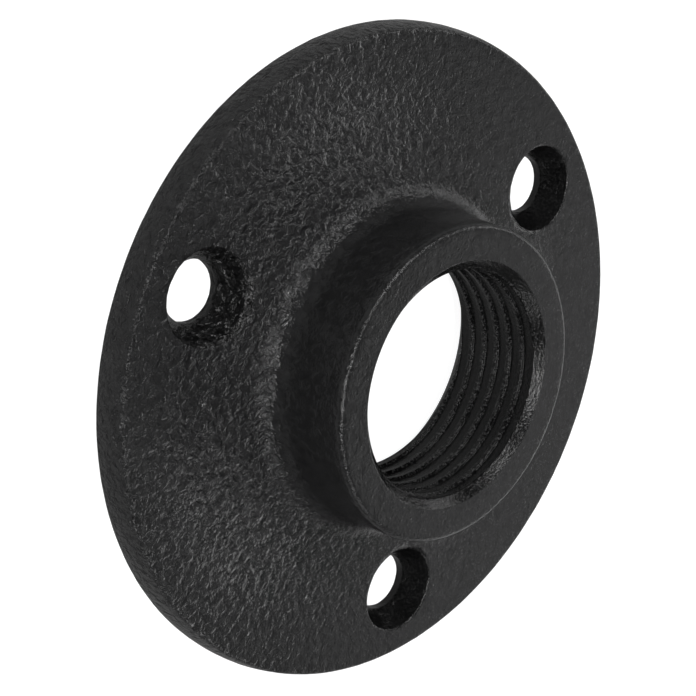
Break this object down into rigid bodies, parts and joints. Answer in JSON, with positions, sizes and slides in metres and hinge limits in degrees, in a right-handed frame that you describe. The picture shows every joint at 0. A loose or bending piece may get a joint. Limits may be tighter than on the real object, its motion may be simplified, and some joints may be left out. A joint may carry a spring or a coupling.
{
  "type": "threaded base flange",
  "caption": "Round cast base flange with a raised hub, tapped right through for pipe, and a ring of tapered screw holes.",
  "frame": {"origin": "on the hub's axis, in the plane of the flat back face", "axes": "+Z along the hub's axis, from the back face out of the hub's mouth; the screw holes lie at 106.5, 226.5 and 346.5 degrees round from +X towards +Y"},
  "size_m": [0.09, 0.09, 0.0173],
  "materials": {
    "casting": "thin black coat over a grainy casting"
  },
  "bodies": {
    "root": {"base_flange": "casting"}
  },
  "joints": []
}
